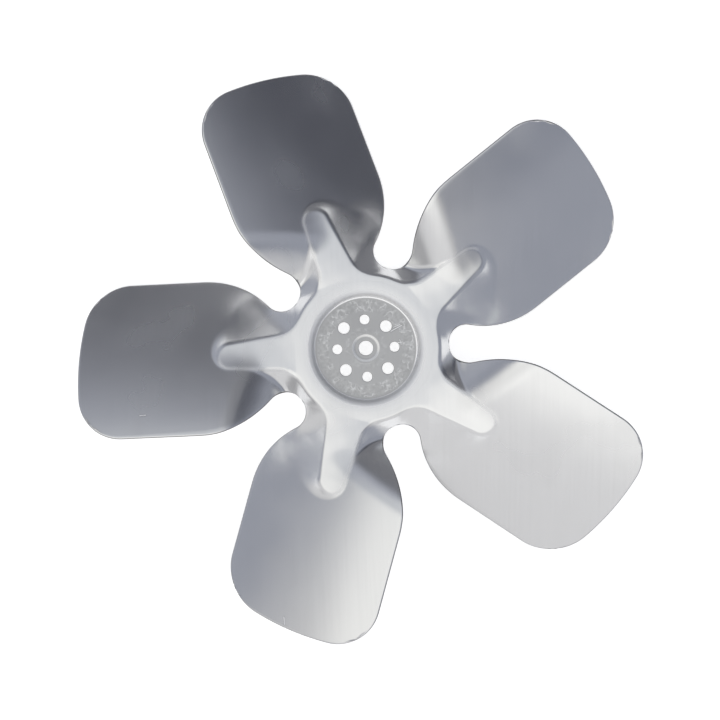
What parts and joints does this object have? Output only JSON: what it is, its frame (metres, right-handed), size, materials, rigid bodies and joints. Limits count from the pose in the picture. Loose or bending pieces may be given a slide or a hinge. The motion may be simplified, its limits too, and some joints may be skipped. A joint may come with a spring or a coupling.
{
  "type": "fan blade",
  "caption": "One-piece pressed sheet metal axial fan with pitched blades, stiffening ribs and a recessed mounting disc with a centre bore and screw holes.",
  "frame": {"origin": "centre of the bore on the lower face of the mounting disc", "axes": "+Z along the axis of rotation, towards the raised crown ring; +X along the middle of one blade"},
  "size_m": [0.2413, 0.2505, 0.038],
  "materials": {
    "aluminium_sheet": "bare rolled sheet, satin to bright, with fine handling marks"
  },
  "bodies": {
    "root": {"fan_blade": "aluminium_sheet"}
  },
  "joints": []
}
